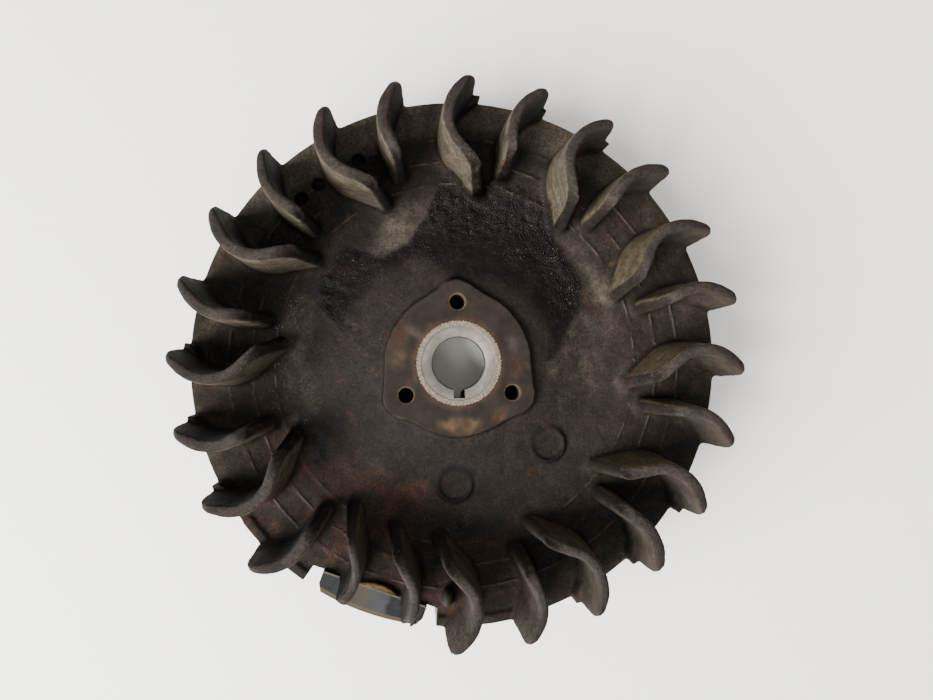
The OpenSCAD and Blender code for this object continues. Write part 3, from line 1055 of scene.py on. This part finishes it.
def cast_material():
    g = Graph("cast_iron")
    tone = g.read("tone", "Color")
    shine = g.read("shine")
    grease = g.read("grease")
    specks = g.read("specks")
    skin = g.read("skin")
    cloud = g.noise(7.0, 6.0, 0.6)
    grain = g.noise(1.1, 5.0, 0.65)
    grit = g.noise(0.45, 3.0, 0.6)
    tone = g.mix(1.0, tone, g.mix(g.step(cloud, 0.3, 0.7), (0.72, 0.70, 0.69), (1.3, 1.28, 1.24)), "MULTIPLY")
    grainy = g.mix(g.step(grain, 0.3, 0.7), (0.6, 0.58, 0.57), (1.45, 1.42, 1.38))
    tone = g.mix(skin, tone, g.mix(1.0, tone, grainy, "MULTIPLY"))
    dry = g.math("SUBTRACT", 1.0, grease)
    rusty = g.times(g.step(g.noise(11.0, 5.0, 0.7), 0.56, 0.68), g.step(grain, 0.42, 0.6))
    rusty = g.times(rusty, dry)
    tone = g.mix(g.times(rusty, 0.45), tone, linear(104, 68, 48) * ALBEDO_SHARE)
    spot = g.times(g.step(g.cells(1.1), 0.3, 0.1), g.step(g.noise(4.0), 0.5, 0.62))
    tone = g.mix(g.times(spot, g.times(specks, 0.5)), tone, linear(170, 160, 145) * 0.5)
    # Light flecks over the cast skin: painted glints.
    painted_glint_fleck = g.times(g.step(g.cells(1.3), 0.2, 0.1), g.step(g.noise(2.6), 0.58, 0.66))
    painted_glint_fleck = g.times(painted_glint_fleck, skin)
    tone = g.mix(g.times(painted_glint_fleck, 0.4), tone, linear(160, 150, 135) * ALBEDO_SHARE)
    rough = g.math("SUBTRACT", 0.88, g.times(shine, 0.55))
    rough = g.math("ADD", rough, g.step(grit, 0.3, 0.7, -0.08, 0.08))
    r = g.radius()
    line = 0.0
    for line_r in FLOOR_LINES:
        off = g.math("ABSOLUTE", g.math("SUBTRACT", r, line_r * MM))
        line = g.math("MAXIMUM", line, g.step(off, 0.0008, 0.0002))
    broken = g.step(g.noise(9.0, 4.0, 0.6), 0.44, 0.6)
    line = g.times(g.times(line, broken), g.read("floor"))
    tone = g.mix(g.times(line, 0.55), tone, linear(108, 98, 84) * ALBEDO_SHARE)
    patches = g.step(g.noise(14.0, 4.0, 0.6), 0.4, 0.62)
    crusty = g.times(grease, g.math("ADD", 0.3, g.times(patches, 0.7)))
    crusty = g.times(crusty, g.step(r, 0.046, 0.062, 0.15, 1.0))
    granules = g.step(g.cells(1.05), 0.5, 0.05)
    coarse = g.times(g.math("ADD", granules, g.noise(0.8, 3.0, 0.7)), crusty)
    normal = g.bump(coarse, 0.55, 0.85)
    normal = g.bump(line, 0.45, 0.9, normal)
    fine = g.times(g.math("ADD", grain, g.times(grit, 0.5)), skin)
    normal = g.bump(fine, 0.35, 0.8, normal)
    # Light grey glints in the grease crust: painted highlights, with the gloss raised on the same spots.
    glint_paint_and_gloss = g.times(g.step(g.cells(1.05), 0.36, 0.12), g.step(g.noise(2.2, 4.0, 0.7), 0.5, 0.62))
    glint_paint_and_gloss = g.times(glint_paint_and_gloss, crusty)
    tone = g.mix(g.times(glint_paint_and_gloss, 0.8), tone, linear(140, 130, 128) * ALBEDO_SHARE)
    gloss = g.math("SUBTRACT", 0.12, g.times(grease, 0.05))
    gloss = g.math("ADD", gloss, g.times(glint_paint_and_gloss, 0.5))
    rough = g.math("SUBTRACT", rough, g.times(glint_paint_and_gloss, 0.2))
    return g.finish(tone, rough, 0.0, normal, gloss)


def seat_material():
    """Ring that the nut's washer kept clean: smooth inside, crushed and speckled along its edge."""
    g = Graph("washer_seat")
    r = g.radius()
    turning = g.noise(0.12, 2.0, 0.5, g.add("ShaderNodeCombineXYZ", {"X": r}).outputs[0])
    blotch = g.noise(3.5, 6.0, 0.65)
    colour = g.mix(g.step(blotch, 0.3, 0.7), linear(88, 83, 75), linear(107, 101, 91))
    colour = g.mix(g.step(turning, 0.35, 0.65, 0.0, 0.35), colour, linear(87, 84, 78))
    band = g.step(r, SEAT_R * 0.86 * MM, SEAT_R * 0.88 * MM)
    crushed = g.mix(g.step(g.noise(0.7, 4.0, 0.7), 0.38, 0.62), linear(73, 61, 48), linear(121, 111, 95))
    colour = g.mix(g.times(band, 0.75), colour, crushed)
    scored = g.step(g.math("ABSOLUTE", g.math("SUBTRACT", r, SEAT_R * 0.86 * MM)), 0.0005, 0.00015)
    colour = g.mix(g.times(scored, 0.6), colour, linear(70, 68, 62))
    normal = g.bump(g.math("ADD", turning, g.noise(0.6, 3.0)), 0.08, 0.6)
    normal = g.bump(g.times(band, g.noise(0.9, 3.0, 0.7)), 0.3, 0.8, normal)
    return g.finish(colour, 0.55, 0.35, normal)


def oily_steel_material():
    g = Graph("oily_steel")
    blotch = g.noise(4.0, 6.0, 0.65)
    streak = g.noise(0.35, 3.0, 0.5)
    colour = g.mix(g.step(blotch, 0.35, 0.65), linear(40, 38, 36), linear(62, 59, 55))
    colour = g.mix(g.times(g.step(blotch, 0.6, 0.7), 0.6), colour, linear(82, 58, 42))
    normal = g.bump(streak, 0.05, 0.5)
    return g.finish(colour, g.step(blotch, 0.3, 0.7, 0.6, 0.8), 0.1, normal, 0.12)


def turned_material():
    """Turned rim: fine lines round the axis, brown film and rust."""
    g = Graph("turned_iron")
    z = g.part("Z")
    lines = g.noise(0.22, 2.0, 0.5, g.add("ShaderNodeCombineXYZ", {"X": z, "Y": g.radius()}).outputs[0])
    blotch = g.noise(14.0, 7.0, 0.65)
    spots = g.noise(2.5, 5.0, 0.7)
    colour = g.mix(g.step(blotch, 0.35, 0.65), linear(56, 51, 46), linear(80, 74, 67))
    colour = g.mix(g.times(g.step(blotch, 0.52, 0.66), 0.7), colour, linear(70, 50, 39))
    colour = g.mix(g.times(g.step(spots, 0.58, 0.68), 0.8), colour, linear(42, 33, 28))
    colour = g.mix(g.step(lines, 0.4, 0.7, 0.0, 0.35), colour, linear(40, 36, 33))
    normal = g.bump(g.math("ADD", g.times(lines, 0.6), spots), 0.1, 0.7)
    return g.finish(colour, g.step(blotch, 0.35, 0.65, 0.42, 0.66), 0.5, normal)


# Colour of the front end plate at one end, then where the next ones begin across it, in millimetres
PLATE_COLOUR = linear(22, 25, 26)
PLATE_STRETCHES = (
    (-12.5, linear(51, 47, 40)),
    (-1.5, linear(45, 44, 46)),
    (7.5, linear(18, 20, 21)),
)
PLATE_FADE = 1.5                   # half-width of the change from one to the next


def plate_material():
    """End plates of the magnet unit: blue-grey sheet with dried dust in places and a rusty edge."""
    g = Graph("magnet_plate")
    cloud = g.noise(16.0, 5.0, 0.6)
    dust = g.noise(6.0, 7.0, 0.7)
    brushed = g.noise(0.5, 3.0, 0.6)
    turn = math.radians(NOTCH_ANGLE)
    across = g.add("ShaderNodeVectorMath", {0: g.place, 1: (-math.sin(turn), math.cos(turn), 0.0)},
                   operation="DOT_PRODUCT").outputs["Value"]
    across = g.math("ADD", across, g.times(g.math("SUBTRACT", dust, 0.5), 6.0 * MM))
    colour = PLATE_COLOUR
    for start, shade in PLATE_STRETCHES:
        low, high = (start - PLATE_FADE) * MM, (start + PLATE_FADE) * MM
        colour = g.mix(g.step(across, low, high), colour, shade)
    clouds = g.mix(g.step(cloud, 0.3, 0.7), (0.82, 0.82, 0.82), (1.18, 1.18, 1.18))
    colour = g.mix(1.0, colour, clouds, "MULTIPLY")
    edge = g.math("ADD", g.radius(), g.times(dust, 0.8 * MM))
    edge = g.step(edge, (RIM_R - 1.7) * MM, (RIM_R - 1.1) * MM)
    colour = g.mix(g.times(edge, 0.8), colour, linear(66, 56, 42))
    normal = g.bump(g.math("ADD", brushed, dust), 0.05, 0.5)
    return g.finish(colour, g.step(dust, 0.42, 0.62, 0.5, 0.7), 0.0, normal, 0.15)


def lamination_material():
    """Edges of stamped sheets, each a slightly different shade."""
    g = Graph("laminations")
    z = g.part("Z")
    sheet = g.noise(1.7, 1.0, 0.5, g.add("ShaderNodeCombineXYZ", {"X": z}).outputs[0])
    blotch = g.noise(6.0, 6.0, 0.65)
    colour = g.mix(g.step(sheet, 0.3, 0.7), linear(70, 70, 73), linear(116, 116, 119))
    colour = g.mix(g.times(g.step(blotch, 0.5, 0.64), 0.75), colour, linear(96, 66, 46))
    return g.finish(colour, g.step(blotch, 0.35, 0.65, 0.36, 0.62), 0.7, g.bump(g.noise(0.5), 0.05, 0.6))


def ferrite_material():
    g = Graph("ferrite")
    blotch = g.noise(5.0, 5.0, 0.6)
    colour = g.mix(g.step(blotch, 0.35, 0.65), linear(34, 34, 37), linear(54, 53, 55))
    return g.finish(colour, g.step(blotch, 0.3, 0.7, 0.45, 0.65), 0.0, g.bump(g.noise(0.7), 0.08, 0.7))


def rivet_material():
    """Heads filed flush with the plates and dulled like them."""
    g = Graph("rivets")
    blotch = g.noise(1.5, 5.0, 0.6)
    colour = g.mix(g.step(blotch, 0.35, 0.65), linear(21, 23, 24), linear(27, 29, 30))
    return g.finish(colour, 0.6, 0.0, g.bump(g.noise(0.3), 0.04, 0.6), 0.15)


def brass_material():
    g = Graph("tarnished_brass")
    blotch = g.noise(5.0, 6.0, 0.65)
    colour = g.mix(g.step(blotch, 0.35, 0.65), linear(46, 39, 29), linear(70, 60, 43))
    return g.finish(colour, g.step(blotch, 0.3, 0.7, 0.45, 0.65), 0.5, g.bump(g.noise(0.6), 0.04, 0.6))


def screw_material():
    g = Graph("oiled_screws")
    blotch = g.noise(2.0, 6.0, 0.65)
    colour = g.mix(g.step(blotch, 0.4, 0.62), linear(80, 78, 76), linear(126, 124, 120))
    colour = g.mix(g.times(g.step(blotch, 0.6, 0.7), 0.7), colour, linear(90, 62, 44))
    return g.finish(colour, g.step(blotch, 0.3, 0.7, 0.3, 0.5), 0.8, g.bump(g.noise(0.4), 0.04, 0.6))


CAST, SEAT, STEEL, TURNED = range(4)


def dress_casting(piece):
    """Gives each face the finish of the way it was made."""
    mesh = piece.data
    mesh.materials.clear()
    for material in (cast_material(), seat_material(), oily_steel_material(), turned_material()):
        mesh.materials.append(material)
    count = len(mesh.polygons)
    centre = np.empty(count * 3, np.float32)
    normal = np.empty(count * 3, np.float32)
    mesh.polygons.foreach_get("center", centre)
    mesh.polygons.foreach_get("normal", normal)
    centre = centre.reshape(-1, 3) / MM
    normal = normal.reshape(-1, 3)
    r, a = polar(centre)
    z = centre[:, 2]
    finish = np.full(count, CAST, np.int32)
    finish[(r > RIM_R - 0.15) & (np.abs(normal[:, 2]) < 0.9)] = TURNED
    finish[(r > CUP_R + 0.5) & (z < 1.3)] = TURNED
    in_notch = np.abs(angle_off(a, NOTCH_ANGLE)) < NOTCH_SPAN / 2 + 0.05
    walls = in_notch & (r > NOTCH_FLOOR_R - 0.1) & (np.abs(normal[:, 2]) < 0.05) & (z < RIM_Z + 1.3)
    finish[walls] = TURNED
    finish[(r < SEAT_R + 0.3) & (np.abs(z - PAD_Z + SEAT_DEPTH) < 0.02)] = SEAT
    finish[(r < KEY_FLOOR_R + 2) & (np.abs(normal[:, 2]) < 0.9) & (z > HUB_BACK_Z - 0.1)] = STEEL
    for angle in BOLT_ANGLES:
        off = away(centre, at(BOLT_CIRCLE_R, angle))
        in_depth = (z < PAD_Z - 0.45) & (z > PAD_Z - BOLT_DEPTH - 2.02)
        finish[(off < BOLT_HOLE_R + 0.9) & in_depth] = STEEL
    for angle in BALANCE_ANGLES:
        finish[(away(centre, at(BALANCE_R, angle)) < BALANCE_HOLE_R + 0.05) & (z < RIM_Z + 2)] = STEEL
    mesh.polygons.foreach_set("material_index", finish)
    mesh.polygons.foreach_set("use_smooth", np.ones(count, bool))
    mesh.set_sharp_from_angle(angle=math.radians(50))
    mesh.update()


paint(casting)
dress_casting(casting)
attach(casting, "root")
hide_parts("flywheel_casting")

KEPT = {
    "magnet": ferrite_material(),
    "leading_pole_laminations": lamination_material(),
    "front_end_plate": plate_material(),
    "pole_rivets": rivet_material(),
    "magnet_backing_strip": brass_material(),
    "retaining_screws": screw_material(),
}
KEPT["trailing_pole_laminations"] = KEPT["leading_pole_laminations"]
KEPT["rear_end_plate"] = KEPT["front_end_plate"]
for name, material in KEPT.items():
    for slot in NODES[name].material_slots:
        slot.material = material

# ------------------------------------------------------------------ floor and light

def floor_material():
    g = Graph("floor")
    return g.finish((0.87, 0.845, 0.77), 0.55)


bpy.ops.mesh.primitive_plane_add(size=6, location=(0, 0, 0))
floor = bpy.context.object
floor.name = "floor"
floor.data.materials.append(floor_material())


def area_light(name, place, size, power):
    light = add_object(name, bpy.data.lights.new(name, "AREA"))
    light.data.shape = "DISK"
    light.data.size = size
    light.data.energy = power
    light.location = place
    light.rotation_euler = (Vector((0, 0, 0)) - Vector(place)).to_track_quat("-Z", "Y").to_euler()


area_light("key", (-1.25, -0.7, 1.1), 1.5, 165)
area_light("low_fill", (-0.1, -0.58, 1.2), 0.4, 3)
world = bpy.data.worlds.new("world")
bpy.context.scene.world = world
world.use_nodes = True
world.node_tree.nodes["Background"].inputs["Color"].default_value = (1, 1, 1, 1)
world.node_tree.nodes["Background"].inputs["Strength"].default_value = 1.02
